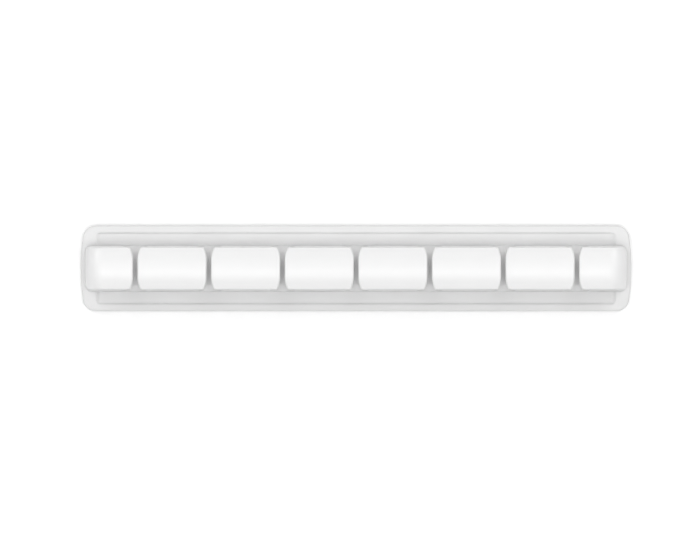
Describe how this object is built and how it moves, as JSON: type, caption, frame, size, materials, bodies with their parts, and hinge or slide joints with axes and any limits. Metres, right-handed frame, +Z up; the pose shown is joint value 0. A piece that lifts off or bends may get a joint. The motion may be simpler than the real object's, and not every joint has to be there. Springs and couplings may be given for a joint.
{
  "type": "cable holder",
  "caption": "Low moulded strip with a crowned ridge whose slotted round passages grip cables, and an adhesive pad underneath that sticks it to a desk.",
  "frame": {"origin": "bottom centre, on the face of the adhesive pad that meets the desk", "axes": "+X along the strip, +Y across it, along the cables, +Z up, away from the desk"},
  "size_m": [0.135, 0.021, 0.0124],
  "materials": {
    "white_silicone": "satin",
    "adhesive_foam": "matte"
  },
  "bodies": {
    "root": {"holder_body": "white_silicone", "adhesive_pad": "adhesive_foam"}
  },
  "joints": []
}
